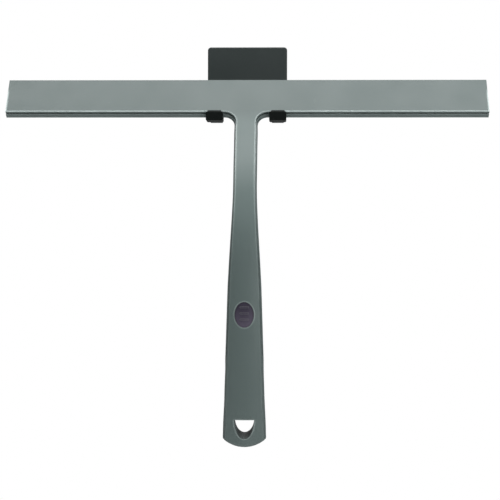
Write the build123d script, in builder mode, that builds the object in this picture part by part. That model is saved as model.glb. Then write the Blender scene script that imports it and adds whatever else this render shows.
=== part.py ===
from build123d import *
import math
import os

os.makedirs("parts", exist_ok=True)

# Window cleaning squeegee hanging on its wall holder. Millimetres.
# +Y points into the wall, +Z up, +X right as seen from the room.
# The origin is the centre of the holder's adhesive face, in the wall plane Y = 0.

margin = 5.0  # how far a cutting solid runs past what it cuts
reach = 150.0  # a length that clears the whole object
near = 0.1  # how far off its nominal place a selected edge may lie

# Head: a flat bar whose face leans back to the wall at the top
head_width = 320.0
face_height = 25.8
head_tilt = 28.6
face_top_y = -20.0
face_top_z = -1.8
head_depth = 7.4
rim_depth = 5.0  # depth of the widest outline behind the face
rim_flare = 1.27  # how far the widest outline stands out past the face
back_draw = 1.8  # how far the back draws in again from the widest outline
edge_radius = 0.4
seam_depth = 2.0  # the front shell is this thick over the head and neck
groove_front = 1.2  # the shadow groove starts this far in front of the seam
groove_back = 0.2
groove_depth = 0.7
groove_grow = -0.2  # the groove's floor, as the tee's outline grown by this
wall = 1.9

# Neck and grip
neck_half = 6.43
neck_length = 60.4  # from the face's top edge to where the bend starts
tee_end = 36.0  # where the flat tee hands over to the lofted neck
junction_radius = 8.0
bend_radius = 125.0
grip_radius = 1200.0
grip_end = 256.0
cavity_end = 214.0  # the grip is solid below this length along its front line
tail_radius = 22.0
tail_low_z = -242.0
tail_round = 1.4
tail_rise = 3.8
flat_crown = 0.01  # a crown below this is drawn as a straight line

# Hanging hole near the grip's end, a half ellipse with a flat top
hole_top_z = -224.4
hole_front = (6.5, 12.6)
hole_rear = (6.2, 9.3)
hole_throat = 13.0

# Thumb pad
pad_z = -157.0
pad_size = (6.2, 8.2)
pad_floor = 2.6
pad_seat = 1.2
pad_recess = 0.5
pad_gap = 0.1
rib_z = -156.1
rib_count = 3
rib_pitch = 3.9
rib_size = (5.8, 0.9)
rib_rise = 0.4

# Blade, and the rail that grips it, in a block behind the head's top edge
block_depth = 6.6
block_height = 7.4
block_foot = 9.5
rail_front = 2.6
rail_top = -1.2
rail_height = 5.2
rail_shoulder = 5.8
rail_mouth = 4.4
rail_wall = 0.8
rail_lip = 1.0
rail_slot = 1.8
blade_gap = 0.15
blade_reach = 8.0
blade_tip = 0.8

# Screws
screw_radius = 1.1
screw_head_radius = 2.1
screw_head_height = 0.9
screw_clearance = 0.2
pilot_clearance = 0.05
drive_length = 2.6
drive_width = 0.7
drive_depth = 0.5
boss_radius = 2.8
head_screw_row = 17.5
head_screw_seat = 5.6
head_screw_tip = 1.2
head_screw_pitch = 46.0
head_screw_count = 7
grip_screw_heights = (-140.0, -204.0)
grip_screw_seat = 8.4
grip_screw_tip = 2.6
grip_boss_radius = 3.2

# Hollow inside the shells
recess_half = 156.0
recess_top = 10.5
recess_foot = 23.6
recess_floor = 4.8
neck_recess_half = 4.4

# Stiffener bar
bar_width = 8.0
bar_thickness = 1.6
bar_depth = 3.2
bar_start = 12.0
bar_tail = 6.0

# Wall holder
foam_width = 50.0
foam_height = 42.0
foam_thickness = 1.2
plate_width = 54.3
plate_height = 46.0
plate_thickness = 3.0
plate_corner = 2.2
plate_edge = 0.8
hook_x = 20.9
hook_core_width = 8.0
hook_pad_width = 11.3
cap_bevel = 1.2
cap_corner = 1.6
foot_corner = 0.6
lip_top_z = -23.7
lip_thickness = 1.2
seat_clearance = 0.2
front_clearance = 0.35
seat_room = 0.7
seat_ramp = 0.5
sleeve_floor = 0.5
sleeve_skin = 0.6
sleeve_rise = 1.4
sleeve_tail = 2.4
core_thickness = 1.2
core_ramp = 1.2
hook_rise = 1.3
hook_root = 4.0
hook_web = 3.3
hook_root_z = -20.0
plate_front = -(foam_thickness + plate_thickness)

# Where the seam runs down the grip: distance along the front line, depth behind it
grip_seam = [(neck_length, seam_depth), (101.0, 2.6), (132.0, 3.9), (177.0, 4.8), (grip_end, 4.8)]

lean = math.radians(head_tilt)
face_top = Vector(0, face_top_y, face_top_z)
down_face = Vector(0, -math.sin(lean), -math.cos(lean))
into_head = Vector(0, math.cos(lean), -math.sin(lean))
# On the face plane local x is +X, local y runs down the face and local z into the head.
face_plane = Plane(origin=face_top, x_dir=(1, 0, 0), z_dir=into_head)


def head_point(down, depth):
    """A point of the head's side profile."""
    return face_top + down_face * down + into_head * depth


# Front line of the neck and grip: straight, a bend to vertical, then a slow curve back to the wall
bend_length = bend_radius * lean
bend_centre = head_point(neck_length, bend_radius)
bend_end = bend_centre + Vector(0, -bend_radius, 0)


def front_line(distance, depth=0.0):
    """The point at a distance along the front line, moved inwards, and the heading there."""
    if distance <= neck_length:
        return head_point(distance, depth), down_face
    if distance <= neck_length + bend_length:
        turn = lean - (distance - neck_length) / bend_radius
        outward = Vector(0, -math.cos(turn), math.sin(turn))
        heading = Vector(0, -math.sin(turn), -math.cos(turn))
        return bend_centre + outward * (bend_radius - depth), heading
    turn = (distance - neck_length - bend_length) / grip_radius
    centre = bend_end + Vector(0, grip_radius, 0)
    outward = Vector(0, -math.cos(turn), -math.sin(turn))
    heading = Vector(0, math.sin(turn), -math.cos(turn))
    return centre + outward * (grip_radius - depth), heading


def front_y(height):
    """Where the front line stands at a height on the grip."""
    drop = bend_end.Z - height
    return bend_end.Y + grip_radius - math.sqrt(grip_radius**2 - drop**2)


def side_point(distance, depth):
    """A side-profile point as Y and Z, for sketches on Plane.YZ."""
    point = front_line(distance, depth)[0]
    return (point.Y, point.Z)


# Grip shape: distance, half width, depth, crown, edge inset, widest depth, front and back rounding
grip_shape = [
    (tee_end, 7.70, head_depth, 0.00, rim_flare, rim_depth, edge_radius, edge_radius),
    (neck_length, 7.70, head_depth, 0.00, rim_flare, rim_depth, edge_radius, edge_radius),
    (85.0, 7.70, 7.6, 0.15, 1.30, 5.0, 0.5, 0.6),
    (101.0, 8.25, 8.1, 0.40, 1.35, 5.1, 0.7, 1.0),
    (116.0, 9.05, 9.0, 0.80, 1.45, 5.4, 0.8, 1.4),
    (132.0, 10.00, 10.1, 1.30, 1.55, 5.8, 0.9, 1.9),
    (147.0, 10.80, 11.2, 1.80, 1.65, 6.2, 1.0, 2.3),
    (177.0, 11.75, 12.2, 2.30, 1.75, 6.8, 1.1, 2.6),
    (223.0, 13.30, 12.2, 2.70, 1.80, 7.0, 1.2, 2.6),
    (grip_end, 14.30, 11.4, 2.90, 1.80, 6.8, 1.2, 2.4),
]
section_count = 19


def slope(row, column):
    """The rate of change of one value of the grip's shape at a row."""
    before = grip_shape[max(row - 1, 0)]
    after = grip_shape[min(row + 1, len(grip_shape) - 1)]
    return (after[column] - before[column]) / (after[0] - before[0])


def shape_at(distance):
    """The grip's shape at any distance, on smooth curves through the rows above."""
    row = 0
    while distance > grip_shape[row + 1][0]:
        row += 1
    start, end = grip_shape[row], grip_shape[row + 1]
    span = end[0] - start[0]
    t = (distance - start[0]) / span
    values = []
    for column in range(1, len(start)):
        value = (2 * t**3 - 3 * t**2 + 1) * start[column] + (3 * t**2 - 2 * t**3) * end[column]
        value += (t**3 - 2 * t**2 + t) * span * slope(row, column)
        value += (t**3 - t**2) * span * slope(row + 1, column)
        values.append(value)
    return values


def grip_section(distance, inset):
    """The grip's outline square to the front line, drawn in on every side by inset."""
    point, heading = front_line(distance)
    half, depth, crown, edge, widest, front_round, back_round = shape_at(distance)
    front_half = half - edge - inset
    side_half = half - inset
    back_half = half - back_draw - inset
    corner = -(crown + inset)
    back = inset - depth
    with BuildSketch(Plane(origin=point, x_dir=(1, 0, 0), z_dir=heading)) as section:
        with BuildLine():
            if crown > flat_crown:
                ThreePointArc((-front_half, corner), (0, -inset), (front_half, corner))
            else:
                Line((-front_half, corner), (front_half, corner))
            Polyline(
                (front_half, corner),
                (side_half, -widest),
                (back_half, back),
                (-back_half, back),
                (-side_half, -widest),
                (-front_half, corner),
            )
        make_face()
        rows = section.vertices().group_by(Axis.Y)
        fillet(rows[0], back_round)
        fillet(rows[1], front_round)
        fillet(rows[2], front_round)
    return section.sketch


def grip_loft(inset):
    """The neck and grip as one smooth solid, drawn in on every side by inset."""
    step = (grip_end - tee_end) / (section_count - 1)
    sections = [grip_section(tee_end + step * place, inset) for place in range(section_count)]
    return loft(sections, mode=Mode.PRIVATE)


def tee_sketch(depth, grow):
    """The tee's outline at a depth behind the face; the bar runs past its top and ends."""
    half = head_width / 2 + margin
    neck = neck_half + grow
    foot = face_height + grow
    end = tee_end + margin
    with BuildSketch(face_plane.offset(depth)) as outline:
        with BuildLine():
            Polyline(
                (-half, -margin),
                (half, -margin),
                (half, foot),
                (neck, foot),
                (neck, end),
                (-neck, end),
                (-neck, foot),
                (-half, foot),
                close=True,
            )
        make_face()
        junction = outline.vertices().filter_by_position(Axis.Y, foot - near, foot + near)
        fillet(junction.filter_by_position(Axis.X, -neck - near, neck + near), junction_radius - grow)
    return outline.sketch


def tee_box(depth, inset):
    """The space that the tee is cut square to, at its top, ends and neck."""
    with BuildSketch(face_plane.offset(depth)) as square:
        with Locations((0, (tee_end + inset) / 2)):
            Rectangle(head_width - 2 * inset, tee_end - inset)
    return square.sketch


def across(points):
    """A closed side profile on the YZ plane."""
    with BuildSketch(Plane.YZ) as profile:
        with BuildLine():
            Polyline(*points, close=True)
        make_face()
    return profile.sketch


def from_top_edge(back, up):
    """A side-profile point measured from the head's top edge."""
    return (face_top_y + back, face_top_z + up)


flare_angle = math.degrees(math.atan(rim_flare / rim_depth))
draw_angle = math.degrees(math.atan(back_draw / (head_depth - rim_depth)))

# The whole outer form, before it is divided into shells
with BuildPart() as tee:
    extrude(tee_sketch(0, 0), rim_depth, taper=-flare_angle)
    extrude(tee_sketch(rim_depth, rim_flare), head_depth - rim_depth, taper=draw_angle)
    extrude(tee_box(-margin, 0), head_depth + 2 * margin, mode=Mode.INTERSECT)
    inward = Axis(tuple(face_top), tuple(into_head))
    downward = Axis(tuple(face_top), tuple(down_face))
    for depth in (0.0, rim_depth, head_depth):
        loop = tee.edges().filter_by_position(inward, depth - near, depth + near)
        fillet(loop.filter_by_position(downward, recess_foot, tee_end - near), edge_radius)

with BuildPart() as blade_block:
    block = [
        from_top_edge(0, 0),
        from_top_edge(block_depth, 0),
        from_top_edge(block_depth, -block_height),
        side_point(block_foot, head_depth),
        side_point(block_foot, rim_depth),
    ]
    extrude(across(block), head_width / 2, both=True)

grip = grip_loft(0)
tail_centre_z = tail_low_z + tail_radius
with BuildPart() as tail_cutter:
    with BuildSketch(Plane.XZ):
        with Locations((0, tail_centre_z - 2 * tail_radius)):
            Rectangle(4 * tail_radius, 3 * tail_radius)
        with Locations((0, tail_centre_z)):
            Circle(tail_radius, mode=Mode.SUBTRACT)
    extrude(amount=reach, both=True)


def hole_sketch(y, size):
    """The hanging hole's outline on a plane parallel to the wall."""
    half_width, height = size
    with BuildSketch(Plane.XZ.offset(-y)) as opening:
        with BuildLine():
            rim = EllipticalCenterArc((0, hole_top_z), half_width, height, start_angle=180, arc_size=180)
            Line(rim @ 1, rim @ 0)
        make_face()
    return opening.sketch


def pad_sketch(depth, grow):
    """The thumb pad's oval, at a depth behind the grip's front."""
    with BuildSketch(Plane.XZ.offset(-front_y(pad_z) - depth)) as oval:
        with Locations((0, pad_z)):
            Ellipse(pad_size[0] + grow, pad_size[1] + grow)
    return oval.sketch


hole_front_y = front_y(hole_top_z)
hole_rear_y = hole_front_y + hole_throat
with BuildPart() as hole_cutter:
    loft([hole_sketch(hole_front_y - margin, hole_front), hole_sketch(hole_front_y, hole_front)], ruled=True)
    loft([hole_sketch(hole_front_y, hole_front), hole_sketch(hole_rear_y, hole_rear)], ruled=True)
    loft([hole_sketch(hole_rear_y, hole_rear), hole_sketch(hole_rear_y + margin, hole_rear)], ruled=True)

with BuildPart() as body:
    add(tee.part)
    add(blade_block.part)
    add(grip)
    add(tail_cutter.part, mode=Mode.SUBTRACT)
    fillet(body.edges().filter_by_position(Axis.Z, tail_low_z - near, tail_low_z + tail_rise), tail_round)
    add(hole_cutter.part, mode=Mode.SUBTRACT)
    extrude(pad_sketch(pad_floor, 0), 2 * margin, mode=Mode.SUBTRACT)


def seam_region(shift):
    """Everything in front of the seam between the shells, the seam moved inwards by shift."""
    points = [side_point(distance, depth + shift) for distance, depth in grip_seam]
    start = head_point(-2 * margin, seam_depth + shift)
    with BuildSketch(Plane.YZ) as region:
        with BuildLine():
            Line((start.Y, start.Z), points[0])
            Spline(*points, tangents=[(down_face.Y, down_face.Z), (0, -1)])
            Polyline(
                points[-1],
                (-reach, points[-1][1]),
                (-reach, reach),
                (start.Y, reach),
                (start.Y, start.Z),
            )
        make_face()
    return extrude(region.sketch, head_width, both=True, mode=Mode.PRIVATE)


in_front_of_seam = seam_region(0)

# The shadow groove that runs round the seam
with BuildPart() as seam_groove:
    add(seam_region(groove_back))
    add(seam_region(-groove_front), mode=Mode.SUBTRACT)
    extrude(tee_sketch(0, groove_grow), 2 * seam_depth, mode=Mode.SUBTRACT)
    add(grip_loft(groove_depth), mode=Mode.SUBTRACT)

# The hollow inside the shells, left solid at the thumb pad and round the grip's screws
with BuildPart() as hollow:
    add(grip_loft(wall))
    with BuildSketch(Plane.XY.offset(front_line(cavity_end)[0].Z)):
        Rectangle(head_width, head_width)
    extrude(amount=-reach, mode=Mode.SUBTRACT)
    with BuildSketch(face_plane.offset(wall)):
        with Locations((0, (recess_top + recess_foot) / 2)):
            Rectangle(2 * recess_half, recess_foot - recess_top)
    extrude(amount=recess_floor - wall)
    with BuildSketch(face_plane.offset(wall)):
        with Locations((0, (recess_top + tee_end) / 2)):
            Rectangle(2 * neck_recess_half, tee_end - recess_top + 2 * near)
    extrude(amount=head_depth - 2 * wall)
    extrude(pad_sketch(pad_floor + pad_seat, pad_seat), 2 * margin, mode=Mode.SUBTRACT)
    for height in grip_screw_heights:
        with BuildSketch(Plane.XZ.offset(-front_y(height))):
            with Locations((0, height)):
                Circle(grip_boss_radius)
        extrude(amount=-2 * head_depth, mode=Mode.SUBTRACT)


def head_screw_cylinder(radius, start, end):
    """Cylinders square to the face at every head screw, between two depths."""
    with BuildSketch(face_plane.offset(start)) as circles:
        with Locations((0, head_screw_row)):
            with GridLocations(head_screw_pitch, 1, head_screw_count, 1):
                Circle(radius)
    return extrude(circles.sketch, end - start, mode=Mode.PRIVATE)


def grip_screw_cylinder(radius, start, end):
    """Cylinders square to the wall at both grip screws, between two depths behind the grip's front."""
    cylinders = []
    for height in grip_screw_heights:
        with BuildSketch(Plane.XZ.offset(-front_y(height) - start)) as circle:
            with Locations((0, height)):
                Circle(radius)
        cylinders.append(extrude(circle.sketch, start - end, mode=Mode.PRIVATE))
    return cylinders


pilot_radius = screw_radius + pilot_clearance
shank_radius = screw_radius + screw_clearance
seat_radius = screw_head_radius + screw_clearance

# Front shell: the face, neck front and crowned grip front in one moulding
with BuildPart() as front_shell:
    add(body.part)
    add(in_front_of_seam, mode=Mode.INTERSECT)
    add(hollow.part, mode=Mode.SUBTRACT)
    add(head_screw_cylinder(boss_radius, head_screw_tip, recess_floor - pilot_clearance))
    add(head_screw_cylinder(pilot_radius, head_screw_tip, recess_floor), mode=Mode.SUBTRACT)
    add(grip_screw_cylinder(pilot_radius, grip_screw_tip, grip_screw_seat), mode=Mode.SUBTRACT)
    add(seam_groove.part, mode=Mode.SUBTRACT)

rail_pocket = [
    from_top_edge(rail_front, rail_top),
    from_top_edge(rail_shoulder, rail_top),
    from_top_edge(rail_shoulder, rail_top - (rail_height - rail_mouth) / 2),
    from_top_edge(block_depth, rail_top - (rail_height - rail_mouth) / 2),
    from_top_edge(block_depth, rail_top - (rail_height + rail_mouth) / 2),
    from_top_edge(rail_shoulder, rail_top - (rail_height + rail_mouth) / 2),
    from_top_edge(rail_shoulder, rail_top - rail_height),
    from_top_edge(rail_front, rail_top - rail_height),
]

# Rear shell: the tray behind the seam, with the rail's pocket along its top
with BuildPart() as rear_shell:
    add(body.part)
    add(in_front_of_seam, mode=Mode.SUBTRACT)
    add(hollow.part, mode=Mode.SUBTRACT)
    extrude(across(rail_pocket), head_width, both=True, mode=Mode.SUBTRACT)
    add(head_screw_cylinder(shank_radius, seam_depth, head_depth), mode=Mode.SUBTRACT)
    add(head_screw_cylinder(seat_radius, head_screw_seat, 2 * head_depth), mode=Mode.SUBTRACT)
    add(grip_screw_cylinder(shank_radius, grip_screw_tip, grip_screw_seat), mode=Mode.SUBTRACT)
    add(grip_screw_cylinder(seat_radius, grip_screw_seat, 3 * head_depth), mode=Mode.SUBTRACT)
    add(seam_groove.part, mode=Mode.SUBTRACT)

# Blade rail: a metal channel, open to the wall, with a slot between its lips
rail_middle = rail_top - rail_height / 2
bead_back = block_depth - rail_lip
with BuildPart() as blade_rail:
    extrude(across(rail_pocket), head_width / 2, both=True)
    channel = [
        from_top_edge(rail_front + rail_wall, rail_middle + rail_height / 2 - rail_wall),
        from_top_edge(bead_back, rail_middle + rail_height / 2 - rail_wall),
        from_top_edge(bead_back, rail_middle + rail_slot / 2),
        from_top_edge(2 * block_depth, rail_middle + rail_slot / 2),
        from_top_edge(2 * block_depth, rail_middle - rail_slot / 2),
        from_top_edge(bead_back, rail_middle - rail_slot / 2),
        from_top_edge(bead_back, rail_middle - rail_height / 2 + rail_wall),
        from_top_edge(rail_front + rail_wall, rail_middle - rail_height / 2 + rail_wall),
    ]
    extrude(across(channel), head_width, both=True, mode=Mode.SUBTRACT)

# Silicone blade: a bead in the rail, a neck through its slot and a tapering lip
bead_half = rail_height / 2 - rail_wall - blade_gap
blade_half = rail_slot / 2 - blade_gap
with BuildPart() as silicone_blade:
    outline = [
        from_top_edge(rail_front + rail_wall + blade_gap, rail_middle + bead_half),
        from_top_edge(bead_back - blade_gap, rail_middle + bead_half),
        from_top_edge(bead_back - blade_gap, rail_middle + blade_half),
        from_top_edge(block_depth + blade_reach, rail_middle + blade_tip / 2),
        from_top_edge(block_depth + blade_reach, rail_middle - blade_tip / 2),
        from_top_edge(bead_back - blade_gap, rail_middle - blade_half),
        from_top_edge(bead_back - blade_gap, rail_middle - bead_half),
        from_top_edge(rail_front + rail_wall + blade_gap, rail_middle - bead_half),
    ]
    extrude(across(outline), head_width / 2, both=True)

# Stiffener bar: a steel strip that runs from the head down the neck and round the bend
bar_end = front_line(neck_length + bend_length, bar_depth)[0]
with BuildPart() as stiffener_bar:
    with BuildLine(Plane.YZ) as bar_line:
        Line(side_point(bar_start, bar_depth), side_point(neck_length, bar_depth))
        ThreePointArc(
            side_point(neck_length, bar_depth),
            side_point(neck_length + bend_length / 2, bar_depth),
            side_point(neck_length + bend_length, bar_depth),
        )
        Line((bar_end.Y, bar_end.Z), (bar_end.Y, bar_end.Z - bar_tail))
    with BuildSketch(Plane(origin=head_point(bar_start, bar_depth), x_dir=(1, 0, 0), z_dir=down_face)):
        Rectangle(bar_width, bar_thickness)
    sweep()
    add(head_screw_cylinder(boss_radius + screw_clearance, 0, head_depth), mode=Mode.SUBTRACT)

with BuildPart() as head_screws:
    add(head_screw_cylinder(screw_radius, head_screw_tip, head_screw_seat))
    add(head_screw_cylinder(screw_head_radius, head_screw_seat, head_screw_seat + screw_head_height))
    with BuildSketch(face_plane.offset(head_screw_seat + screw_head_height - drive_depth)):
        with Locations((0, head_screw_row)):
            with GridLocations(head_screw_pitch, 1, head_screw_count, 1):
                Rectangle(drive_length, drive_width)
                Rectangle(drive_width, drive_length)
    extrude(amount=drive_depth, mode=Mode.SUBTRACT)

with BuildPart() as grip_screws:
    add(grip_screw_cylinder(screw_radius, grip_screw_tip, grip_screw_seat))
    add(grip_screw_cylinder(screw_head_radius, grip_screw_seat, grip_screw_seat + screw_head_height))
    for height in grip_screw_heights:
        drive_floor = grip_screw_seat + screw_head_height - drive_depth
        with BuildSketch(Plane.XZ.offset(-front_y(height) - drive_floor)):
            with Locations((0, height)):
                Rectangle(drive_length, drive_width)
                Rectangle(drive_width, drive_length)
        extrude(amount=-drive_depth, mode=Mode.SUBTRACT)

# Thumb pad: a soft oval insert with three short ribs, set just below the grip's crown
with BuildPart() as thumb_pad:
    extrude(pad_sketch(pad_floor, -pad_gap), 2 * margin)
    add(grip_loft(pad_recess), mode=Mode.INTERSECT)

with BuildPart() as pad_ribs:
    with BuildSketch(Plane.XZ.offset(-front_y(pad_z) - pad_floor)):
        with Locations((0, rib_z)):
            with GridLocations(1, rib_pitch, 1, rib_count):
                SlotOverall(rib_size[0], rib_size[1])
    extrude(amount=2 * margin)
    add(grip_loft(pad_recess - rib_rise), mode=Mode.INTERSECT)

with BuildPart() as ribbed_pad:
    add(thumb_pad.part)
    add(pad_ribs.part)

# Wall holder: foam tape, a plate with two hooks, and a soft sleeve on each hook
with BuildPart() as adhesive_pad:
    with BuildSketch(Plane.XZ):
        RectangleRounded(foam_width, foam_height, plate_corner)
    extrude(amount=foam_thickness)

seat_z = head_point(face_height + rim_flare, rim_depth).Z - seat_clearance
seat_front = head_point(face_height, 0).Y - front_clearance
seat_back = head_point(face_height, head_depth).Y + seat_room
core_top = seat_z - sleeve_floor
core_low = core_top - core_thickness
lip_inner = seat_front - sleeve_skin
lip_outer = lip_inner - lip_thickness
core_lip_z = lip_top_z - 2 * sleeve_skin
sleeve_back = seat_back + sleeve_tail
sleeve_low = core_low - sleeve_skin
sleeve_outer = lip_outer - sleeve_skin
hook_core = [
    (-foam_thickness, hook_root_z),
    (-foam_thickness, core_low + hook_rise),
    (seat_back + hook_root, core_low),
    (lip_outer, core_low),
    (lip_outer, core_lip_z),
    (lip_inner, core_lip_z),
    (lip_inner, core_top),
    (seat_back, core_top),
    (seat_back + core_ramp, core_top + core_ramp),
    (plate_front, core_top + hook_web),
    (plate_front, hook_root_z),
]
hook_places = (-hook_x, hook_x)


def hook_solid(outline, place, width):
    """One hook profile, extruded to its width about its own place across the plate."""
    with BuildSketch(Plane.YZ.offset(place)) as profile:
        with BuildLine():
            Polyline(*outline, close=True)
        make_face()
    return extrude(profile.sketch, width / 2, both=True, mode=Mode.PRIVATE)


def sleeve_front(place):
    """A sleeve's outline from the front, with its top and bottom corners cut off."""
    half = hook_pad_width / 2
    with BuildSketch(Plane.XZ) as outline:
        with BuildLine():
            Polyline(
                (place - half, lip_top_z - cap_corner),
                (place - half + cap_corner, lip_top_z),
                (place + half - cap_corner, lip_top_z),
                (place + half, lip_top_z - cap_corner),
                (place + half, sleeve_low + foot_corner),
                (place + half - foot_corner, sleeve_low),
                (place - half + foot_corner, sleeve_low),
                (place - half, sleeve_low + foot_corner),
                close=True,
            )
        make_face()
    return outline.sketch


with BuildPart() as hook_plate:
    with BuildSketch(Plane.XZ.offset(foam_thickness)):
        RectangleRounded(plate_width, plate_height, plate_corner)
    extrude(amount=plate_thickness)
    fillet(hook_plate.faces().sort_by(Axis.Y)[0].edges(), plate_edge)
    for place in hook_places:
        add(hook_solid(hook_core, place, hook_core_width))

sleeve_outline = [
    (sleeve_back, sleeve_low),
    (sleeve_outer, sleeve_low),
    (sleeve_outer, lip_top_z - cap_bevel),
    (sleeve_outer + cap_bevel, lip_top_z),
    (seat_front, lip_top_z),
    (seat_front, seat_z),
    (seat_back - seat_ramp, seat_z),
    (seat_back - seat_ramp + sleeve_rise, seat_z + sleeve_rise),
    (sleeve_back, seat_z + sleeve_rise),
]
sleeves = []
for place in hook_places:
    with BuildPart() as sleeve:
        add(hook_solid(sleeve_outline, place, hook_pad_width))
        extrude(sleeve_front(place), reach, mode=Mode.INTERSECT)
        fillet(sleeve.edges().filter_by(Axis.X).group_by(Axis.Y)[0], edge_radius)
        add(hook_plate.part, mode=Mode.SUBTRACT)
    sleeves.append(sleeve)

pieces = {
    "front_shell": front_shell.part,
    "rear_shell": rear_shell.part,
    "thumb_pad": ribbed_pad.part,
    "silicone_blade": silicone_blade.part,
    "blade_rail": blade_rail.part,
    "stiffener_bar": stiffener_bar.part,
    "head_screws": head_screws.part,
    "grip_screws": grip_screws.part,
    "hook_plate": hook_plate.part,
    "left_hook_pad": sleeves[0].part,
    "right_hook_pad": sleeves[1].part,
    "adhesive_pad": adhesive_pad.part,
}
for name, part in pieces.items():
    part.label = name
    export_step(part, f"parts/{name}.step")
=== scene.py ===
"""Looks of the window cleaning squeegee on its wall holder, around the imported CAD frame.

Everything is in metres, with the wall in the plane y = 0 and the object in front of it, at negative y.
Colours are linear red, green and blue. Each CAD node keeps its shape and gets a procedural material.
"""

import math

import bpy
from mathutils import Euler, Matrix, Vector


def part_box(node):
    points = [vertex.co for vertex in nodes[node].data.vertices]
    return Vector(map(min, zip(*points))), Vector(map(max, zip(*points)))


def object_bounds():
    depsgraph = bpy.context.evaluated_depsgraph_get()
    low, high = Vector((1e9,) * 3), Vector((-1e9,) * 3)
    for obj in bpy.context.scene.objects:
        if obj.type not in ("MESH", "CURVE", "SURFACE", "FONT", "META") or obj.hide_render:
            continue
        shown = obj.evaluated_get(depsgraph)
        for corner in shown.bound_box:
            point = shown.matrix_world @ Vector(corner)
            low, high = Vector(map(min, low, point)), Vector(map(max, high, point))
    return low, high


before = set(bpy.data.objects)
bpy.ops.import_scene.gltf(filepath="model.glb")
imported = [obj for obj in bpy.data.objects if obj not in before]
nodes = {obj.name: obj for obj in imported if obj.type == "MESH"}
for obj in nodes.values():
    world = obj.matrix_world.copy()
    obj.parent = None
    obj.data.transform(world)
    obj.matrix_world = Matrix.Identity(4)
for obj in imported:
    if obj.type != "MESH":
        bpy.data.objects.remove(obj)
cad_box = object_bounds()

MM = 0.001

# Camera: level, almost straight in front of the wall
CAMERA_AZIMUTH = math.radians(1.48)
CAMERA_ROLL = math.radians(0.15)
CAMERA_DISTANCE = 0.7677
CAMERA_AIM = Vector((0.0028, -0.03235, -0.11584))
LENS_MM = 83.71
SENSOR_MM = 36.0

# Softboxes: name, place, target, width and height, watts
SOFTBOXES = (
    ("overhead", (0.05, -0.45, 1.0), (0.0, -0.03, -0.06), (1.4, 0.9), 18.5),
    ("front_right", (0.80, -1.00, 0.16), (0.0, -0.03, -0.10), (0.45, 0.7), 4.6),
    ("rear", (0.0, 1.4, 0.6), (0.0, 0.0, -0.1), (1.0, 0.8), 8.0),
)

# Sky: white where the camera sees it, and otherwise a gradient between two heights on the unit sphere
BACKGROUND = (1.0, 1.0, 1.0)
AMBIENT_LOW = (0.10, 0.10, 0.10)
AMBIENT_HIGH = (0.34, 0.345, 0.35)
AMBIENT_HEIGHTS = (-0.6, 0.8)

# Floor
FLOOR_DROP = 0.25
FLOOR_SIZE = 1.6
FLOOR_DARK = (0.80, 0.80, 0.80)
FLOOR_LIGHT = (0.84, 0.84, 0.84)

# Zones of the squeegee: a mask goes from 0 to 1 between each one's two heights
BELOW_HEAD_TOP = (-0.008, -0.012)
BELOW_HEAD = (-0.024, -0.032)
ABOVE_BEND = (-0.125, -0.088)
ON_GRIP = (-0.05, -0.10)
NEAR_HOLE = (-0.20, -0.22)

# Zones at both sides: a mask goes from 0 to 1 between each one's two distances from the middle
OUTSIDE_NECK = (0.0072, 0.0085)
ALONG_HEAD = (0.014, 0.020)

# Zones of a face's direction: a mask goes from 0 to 1 between two values of the normal's y or z
FACING_FORWARD = (-0.35, -0.6)
FACING_FRONT = (-0.5, -0.8)
FACING_UP = (0.25, 0.6)
NOT_FACING_UP = (0.75, 0.55)
NOT_FACING_DOWN = (-0.5, -0.2)

# Shares of the rubbing and painted edge highlight that reach spared faces and all others
BACK_HIGHLIGHT_AND_RUB = (0.15, 1.0)
TOP_AND_FOOT_HIGHLIGHT_AND_RUB = (0.1, 1.0)

# Shares of the rubbing and painted edge highlight that the grip's middle and its sides are spared
GRIP_SPARED = (0.55, 0.85)

# Colours laid on the surfaces: a darker foot for the hanging hole, painted shade in crevices, and dust
HOLE_FOOT_DARK = (0.030, 0.040, 0.039)
CREVICE_PAINTED_SHADE = (0.012, 0.016, 0.015)
DUST = (0.16, 0.16, 0.165)

# The cosine to a rounded normal where an edge starts, and the openness where a crevice starts and is full
FLAT_COSINE = 0.995
CREVICE_OPENNESS = (0.85, 0.45)

# Sockets of a Mix node for colours, and of a Mix Shader node
MIX_SHARE = 0
MIX_FROM = 6
MIX_TO = 7
MIX_RESULT = 2
SHADER_FROM = 1
SHADER_TO = 2

# The part of the noise's range that is stretched to the whole one to make patches
PATCH_CONTRAST = (0.3, 0.7)


def build_camera():
    """A level camera, almost straight in front of the object."""
    data = bpy.data.cameras.new("camera")
    data.lens = LENS_MM
    data.sensor_width = SENSOR_MM
    camera = bpy.data.objects.new("camera", data)
    bpy.context.scene.collection.objects.link(camera)
    away = Vector((math.sin(CAMERA_AZIMUTH), -math.cos(CAMERA_AZIMUTH), 0.0))
    camera.location = CAMERA_AIM + CAMERA_DISTANCE * away
    facing = Euler((math.pi / 2, 0.0, CAMERA_AZIMUTH)).to_matrix()
    camera.rotation_euler = (facing @ Matrix.Rotation(CAMERA_ROLL, 3, "Z")).to_euler()
    bpy.context.scene.camera = camera


def is_socket(value):
    """True for a node's output, and False for a plain number or colour."""
    return hasattr(value, "is_output")


def opaque(colour):
    """A colour's socket as it is, or a plain colour with its alpha."""
    return colour if is_socket(colour) else (*colour, 1.0)


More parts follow.
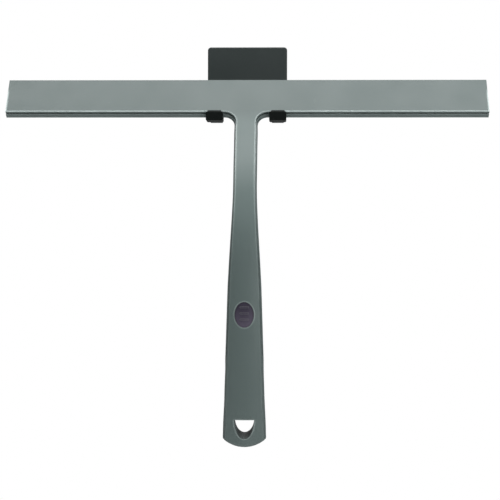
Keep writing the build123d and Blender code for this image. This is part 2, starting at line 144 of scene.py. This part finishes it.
def build_world():
    """White behind the object, and a dimmer soft sky that lights it."""
    world = bpy.data.worlds.new("studio")
    world.use_nodes = True
    bpy.context.scene.world = world
    tree = world.node_tree
    tree.nodes.clear()
    seen = tree.nodes.new("ShaderNodeBackground")
    seen.inputs["Color"].default_value = opaque(BACKGROUND)
    sky = tree.nodes.new("ShaderNodeBackground")
    place = tree.nodes.new("ShaderNodeTexCoord")
    split = tree.nodes.new("ShaderNodeSeparateXYZ")
    height = tree.nodes.new("ShaderNodeMapRange")
    height.inputs["From Min"].default_value, height.inputs["From Max"].default_value = AMBIENT_HEIGHTS
    shade = tree.nodes.new("ShaderNodeMix")
    shade.data_type = "RGBA"
    shade.inputs[MIX_FROM].default_value = opaque(AMBIENT_LOW)
    shade.inputs[MIX_TO].default_value = opaque(AMBIENT_HIGH)
    rays = tree.nodes.new("ShaderNodeLightPath")
    choose = tree.nodes.new("ShaderNodeMixShader")
    out = tree.nodes.new("ShaderNodeOutputWorld")
    links = tree.links
    links.new(place.outputs["Generated"], split.inputs["Vector"])
    links.new(split.outputs["Z"], height.inputs["Value"])
    links.new(height.outputs["Result"], shade.inputs[MIX_SHARE])
    links.new(shade.outputs[MIX_RESULT], sky.inputs["Color"])
    links.new(rays.outputs["Is Camera Ray"], choose.inputs["Fac"])
    links.new(sky.outputs["Background"], choose.inputs[SHADER_FROM])
    links.new(seen.outputs["Background"], choose.inputs[SHADER_TO])
    links.new(choose.outputs["Shader"], out.inputs["Surface"])


def softbox(name, place, target, size, watts):
    """A rectangular area light aimed at a point."""
    data = bpy.data.lights.new(name, "AREA")
    data.shape = "RECTANGLE"
    data.size, data.size_y = size
    data.energy = watts
    light = bpy.data.objects.new(name, data)
    bpy.context.scene.collection.objects.link(light)
    light.location = place
    light.rotation_euler = (Vector(target) - Vector(place)).to_track_quat("-Z", "Y").to_euler()
    light.visible_camera = False


class Finish:
    """A procedural material, with the colour, roughness and relief that its nodes have built up so far."""

    def __init__(self, name, roughness=0.5, metallic=0.0, specular=0.5):
        self.material = bpy.data.materials.new(name)
        self.material.use_nodes = True
        self.tree = self.material.node_tree
        self.shader = self.tree.nodes["Principled BSDF"]
        self.shader.inputs["Metallic"].default_value = metallic
        self.shader.inputs["Specular IOR Level"].default_value = specular
        self.place = self.add("ShaderNodeTexCoord").outputs["Object"]
        self.colour = None
        self.roughness = roughness
        self.relief = None

    def add(self, kind, **settings):
        """A new node with its settings."""
        node = self.tree.nodes.new(kind)
        for key, value in settings.items():
            setattr(node, key, value)
        return node

    def feed(self, node, key, value):
        """Gives one of a node's inputs a socket or a plain value."""
        if is_socket(value):
            self.tree.links.new(value, node.inputs[key])
        else:
            node.inputs[key].default_value = value

    def math(self, operation, first, second=0.0):
        """One operation on one or two values."""
        node = self.add("ShaderNodeMath", operation=operation)
        self.feed(node, 0, first)
        self.feed(node, 1, second)
        return node.outputs["Value"]

    def product(self, first, *others):
        """All the values multiplied together."""
        result = first
        for value in others:
            result = self.math("MULTIPLY", result, value)
        return result

    def average(self, first, second, share):
        """A weighted average, where share is the second value's weight."""
        return self.math("ADD", self.product(first, 1.0 - share), self.product(second, share))

    def parts(self, vector):
        """A vector's x, y and z."""
        node = self.add("ShaderNodeSeparateXYZ")
        self.feed(node, "Vector", vector)
        return node.outputs["X"], node.outputs["Y"], node.outputs["Z"]

    def normal(self):
        """The face's own direction: y is -1 on the front, and z is 1 on top."""
        return self.add("ShaderNodeNewGeometry").outputs["Normal"]

    def spread(self, value, limits, result=(0.0, 1.0)):
        """Maps the range between the limits to the result's range, and holds it at both ends."""
        node = self.add("ShaderNodeMapRange")
        self.feed(node, "Value", value)
        node.inputs["From Min"].default_value, node.inputs["From Max"].default_value = limits
        node.inputs["To Min"].default_value, node.inputs["To Max"].default_value = result
        return node.outputs["Result"]

    def noise(self, scale, detail=2.0, stretch=None):
        """Noise with so many lumps a metre, drawn out along the axes where stretch is small."""
        node = self.add("ShaderNodeTexNoise")
        place = self.place
        if stretch:
            mapping = self.add("ShaderNodeMapping")
            self.feed(mapping, "Vector", place)
            mapping.inputs["Scale"].default_value = stretch
            place = mapping.outputs["Vector"]
        self.feed(node, "Vector", place)
        node.inputs["Scale"].default_value = scale
        node.inputs["Detail"].default_value = detail
        return node.outputs["Fac"]

    def patches(self, scale, detail=2.0, contrast=PATCH_CONTRAST, result=(0.0, 1.0), stretch=None):
        """Noise with its contrast raised."""
        return self.spread(self.noise(scale, detail, stretch), contrast, result)

    def blend(self, share, first, second):
        """A colour between two others."""
        node = self.add("ShaderNodeMix", data_type="RGBA")
        self.feed(node, MIX_SHARE, share)
        self.feed(node, MIX_FROM, opaque(first))
        self.feed(node, MIX_TO, opaque(second))
        return node.outputs[MIX_RESULT]

    def tint(self, share, colour):
        """Moves the material's colour towards another."""
        self.colour = self.blend(share, self.colour, colour)

    def edges(self, radius, sharpest):
        """0 on flat faces and 1 on edges, from the cosine between a rounded normal and the face's own."""
        rounded = self.add("ShaderNodeBevel", samples=6)
        rounded.inputs["Radius"].default_value = radius
        cosine = self.add("ShaderNodeVectorMath", operation="DOT_PRODUCT")
        self.feed(cosine, 0, rounded.outputs["Normal"])
        self.feed(cosine, 1, self.normal())
        return self.spread(cosine.outputs["Value"], (FLAT_COSINE, sharpest))

    def crevices(self, reach):
        """0 on open faces and 1 in grooves and corners."""
        shelter = self.add("ShaderNodeAmbientOcclusion", samples=8)
        shelter.inputs["Distance"].default_value = reach
        return self.spread(shelter.outputs["AO"], CREVICE_OPENNESS)

    def bump(self, value, depth, strength=1.0):
        """Lays one more relief over those before it."""
        node = self.add("ShaderNodeBump")
        node.inputs["Distance"].default_value = depth
        node.inputs["Strength"].default_value = strength
        self.feed(node, "Height", value)
        if self.relief:
            self.feed(node, "Normal", self.relief)
        self.relief = node.outputs["Normal"]

    def done(self):
        """The finished material."""
        self.feed(self.shader, "Base Color", self.colour)
        self.feed(self.shader, "Roughness", self.roughness)
        if self.relief:
            self.feed(self.shader, "Normal", self.relief)
        return self.material


def scaled(colour, factor):
    """A plain colour made lighter or darker."""
    return [factor * part for part in colour]


def neck_painted_highlight(made):
    """1 on the front of the squeegee's neck, where a painted highlight goes, and 0 elsewhere."""
    _, _, z = made.parts(made.place)
    _, facing_y, _ = made.parts(made.normal())
    return made.product(
        made.spread(z, BELOW_HEAD),
        made.spread(z, ABOVE_BEND),
        made.spread(facing_y, FACING_FRONT),
    )


def hole_foot(made):
    """1 on the faces near the hanging hole that look up, and 0 elsewhere."""
    _, _, z = made.parts(made.place)
    _, _, facing_z = made.parts(made.normal())
    return made.product(made.spread(facing_z, FACING_UP), made.spread(z, NEAR_HOLE))


def highlighted_and_rubbed_edges(made, off_middle, edge_highlight_and_wear_share):
    """How far the edges are paled, by rubbing and by a painted highlight: most on the head's lower edge and
    the neck, and less on the grip.

    The top edge stays fresh, and so, almost, do faces that look back, down or straight up.
    """
    _, _, z = made.parts(made.place)
    _, facing_y, facing_z = made.parts(made.normal())
    spared = made.product(made.spread(off_middle, OUTSIDE_NECK, GRIP_SPARED), made.spread(z, ON_GRIP))
    return made.product(
        made.edges(1.7 * MM, sharpest=0.95),
        made.patches(scale=90.0, detail=3.0, contrast=(0.2, 0.45), result=(0.6, 1.0)),
        made.spread(z, BELOW_HEAD_TOP),
        made.spread(facing_y, FACING_FORWARD, BACK_HIGHLIGHT_AND_RUB),
        made.spread(facing_z, NOT_FACING_DOWN, TOP_AND_FOOT_HIGHLIGHT_AND_RUB),
        made.spread(facing_z, NOT_FACING_UP, TOP_AND_FOOT_HIGHLIGHT_AND_RUB),
        made.math("SUBTRACT", 1.0, spared),
        edge_highlight_and_wear_share,
    )


def moulded_plastic(name, dark, light, edge_highlight_and_worn, roughness, grain, grain_depth, edge_highlight_and_wear_share):
    """Moulded plastic with fine grain, flow mottling, a painted highlight on the neck's front, edges paled
    by rubbing and by a painted highlight, a darker hole foot and painted shade in crevices.
    """
    made = Finish(name, specular=0.35)
    streaks = made.patches(scale=22.0, detail=3.0, contrast=(0.32, 0.68), stretch=(1.0, 1.0, 0.45))
    flecks = made.patches(scale=1400.0)
    made.colour = made.blend(made.average(streaks, flecks, 0.3), dark, light)
    # Painted highlight: the front of the neck is tinted paler, where it would face the light more.
    made.tint(neck_painted_highlight(made), scaled(light, 1.18))

    x, _, _ = made.parts(made.place)
    off_middle = made.math("ABSOLUTE", x)
    edge_highlight_and_rub = highlighted_and_rubbed_edges(made, off_middle, edge_highlight_and_wear_share)
    # Rubbed wear and painted highlight: edges are tinted towards a far paler colour, which is paler still
    # along the head away from the middle.
    made.tint(edge_highlight_and_rub, made.blend(made.spread(off_middle, ALONG_HEAD), edge_highlight_and_worn, scaled(edge_highlight_and_worn, 1.6)))

    # The faces near the hanging hole that look up are made darker and rougher.
    foot = hole_foot(made)
    made.tint(foot, HOLE_FOOT_DARK)
    # Painted shade: grooves, the seam and corners are darkened by ambient occlusion.
    made.tint(made.product(made.crevices(1.6 * MM), 0.75), CREVICE_PAINTED_SHADE)

    smears = made.patches(scale=55.0, detail=4.0, result=(roughness - 0.05, roughness + 0.06))
    polished = made.math("SUBTRACT", smears, made.product(edge_highlight_and_rub, 0.1))
    made.roughness = made.math("ADD", polished, made.product(foot, 0.35))
    made.bump(made.noise(grain, detail=3.0), grain_depth)
    made.bump(made.noise(9.0, detail=1.0), 0.12 * MM, strength=0.35)
    return made.done()


def soft_rubber(name, dark, light, roughness, grain, grain_depth, dust, specular=0.3, painted_shade_gradient=None):
    """Soft rubber or silicone: matt, with fine pores and a bloom of dust on its edges.

    Where a painted shade gradient is given, it is a colour, the height where fading to it starts and the
    one where it is full: darker above, as in shade, and lighter below.
    """
    made = Finish(name, specular=specular)
    made.colour = made.blend(made.patches(scale=70.0, detail=4.0), dark, light)
    if painted_shade_gradient:
        colour, start, end = painted_shade_gradient
        _, _, z = made.parts(made.place)
        # Painted light and shade: the colour turns lighter from the start height down to the end height.
        made.tint(made.spread(z, (start, end)), colour)
    made.tint(made.product(made.edges(0.5 * MM, sharpest=0.88), dust), DUST)
    made.roughness = made.patches(scale=240.0, detail=3.0, result=(roughness - 0.06, roughness + 0.08))
    made.bump(made.noise(grain, detail=3.0), grain_depth)
    made.shader.inputs["Sheen Weight"].default_value = 0.04
    made.shader.inputs["Sheen Roughness"].default_value = 0.45
    return made.done()


def brushed_metal(name, dark, light, roughness, stretch, line_scale):
    """Metal with fine lines along one axis, uneven sheen and a few deeper scratches."""
    made = Finish(name, metallic=1.0)
    lines = made.noise(line_scale, detail=3.0, stretch=stretch)
    clouds = made.patches(scale=45.0, detail=3.0)
    made.colour = made.blend(made.average(lines, clouds, 0.4), dark, light)
    made.tint(made.product(made.edges(0.4 * MM, sharpest=0.9), 0.5), light)
    made.roughness = made.spread(lines, PATCH_CONTRAST, (roughness - 0.07, roughness + 0.09))
    made.bump(lines, 0.01 * MM)
    scratches = made.patches(scale=0.4 * line_scale, detail=1.0, contrast=(0.66, 0.72), stretch=stretch)
    made.bump(scratches, 0.01 * MM, strength=0.6)
    return made.done()


def foam(name, dark, light, roughness):
    """Closed-cell foam tape."""
    made = Finish(name)
    cells = made.add("ShaderNodeTexVoronoi", feature="SMOOTH_F1")
    made.feed(cells, "Vector", made.place)
    cells.inputs["Scale"].default_value = 2600.0
    made.colour = made.blend(made.spread(cells.outputs["Distance"], (0.1, 0.75)), light, dark)
    made.roughness = made.patches(scale=120.0, detail=3.0, result=(roughness - 0.05, roughness + 0.05))
    made.bump(cells.outputs["Distance"], 0.08 * MM)
    made.bump(made.noise(60.0), 0.1 * MM, strength=0.5)
    return made.done()


def dress():
    """Gives every CAD node its material."""
    pad_low, pad_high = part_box("thumb_pad")
    # The worn colour and its share give both the rubbed edges and a painted highlight on them.
    shell = moulded_plastic(
        "shell_plastic", dark=(0.095, 0.125, 0.120), light=(0.101, 0.132, 0.127), edge_highlight_and_worn=(0.36, 0.42, 0.41),
        roughness=0.36, grain=2600.0, grain_depth=0.018 * MM, edge_highlight_and_wear_share=0.9,
    )
    holder = moulded_plastic(
        "holder_plastic", dark=(0.019, 0.027, 0.026), light=(0.024, 0.032, 0.031), edge_highlight_and_worn=(0.06, 0.07, 0.07),
        roughness=0.5, grain=1900.0, grain_depth=0.03 * MM, edge_highlight_and_wear_share=0.3,
    )
    sleeve = soft_rubber(
        "hook_rubber", dark=(0.002, 0.0035, 0.003), light=(0.004, 0.0055, 0.005),
        roughness=0.5, grain=1500.0, grain_depth=0.02 * MM, dust=0.0, specular=0.1,
    )
    pad = soft_rubber(
        "pad_rubber", dark=(0.034, 0.028, 0.046), light=(0.040, 0.034, 0.056),
        roughness=0.5, grain=1800.0, grain_depth=0.02 * MM, dust=0.6,
        # Painted shade: the pad is left darker at its top, as under the recess's rim, and lighter towards
        # its bottom.
        painted_shade_gradient=((0.085, 0.072, 0.105), pad_high.z - 4 * MM, pad_low.z),
    )
    blade = soft_rubber(
        "blade_silicone", dark=(0.020, 0.022, 0.023), light=(0.028, 0.030, 0.031),
        roughness=0.42, grain=2400.0, grain_depth=0.01 * MM, dust=0.15,
    )
    rail = brushed_metal(
        "rail_aluminium", dark=(0.50, 0.51, 0.52), light=(0.68, 0.69, 0.70),
        roughness=0.34, stretch=(0.02, 1.0, 1.0), line_scale=3200.0,
    )
    steel = brushed_metal(
        "steel", dark=(0.42, 0.42, 0.43), light=(0.62, 0.62, 0.63),
        roughness=0.3, stretch=(1.0, 0.2, 1.0), line_scale=2400.0,
    )
    tape = foam("foam_tape", dark=(0.52, 0.53, 0.53), light=(0.74, 0.75, 0.75), roughness=0.8)
    finishes = {
        shell: ("front_shell", "rear_shell"),
        pad: ("thumb_pad",),
        rail: ("blade_rail",),
        steel: ("stiffener_bar", "head_screws", "grip_screws"),
        blade: ("silicone_blade",),
        holder: ("hook_plate",),
        sleeve: ("left_hook_pad", "right_hook_pad"),
        tape: ("adhesive_pad",),
    }
    for material, names in finishes.items():
        for name in names:
            for slot in nodes[name].material_slots:
                slot.material = material


def build_floor(lowest):
    """A plain pale floor below the object."""
    half = FLOOR_SIZE / 2
    z = lowest - FLOOR_DROP
    corners = [(-half, -half, z), (half, -half, z), (half, half, z), (-half, half, z)]
    mesh = bpy.data.meshes.new("floor")
    mesh.from_pydata(corners, [], [(0, 1, 2, 3)])
    floor = bpy.data.objects.new("floor", mesh)
    bpy.context.scene.collection.objects.link(floor)
    made = Finish("floor", roughness=0.7)
    made.colour = made.blend(made.noise(3.0), FLOOR_DARK, FLOOR_LIGHT)
    mesh.materials.append(made.done())


bpy.context.scene.view_settings.view_transform = "Standard"
build_camera()
build_world()
for name, place, target, size, watts in SOFTBOXES:
    softbox(name, place, target, size, watts)
dress()
build_floor(cad_box[0].z)
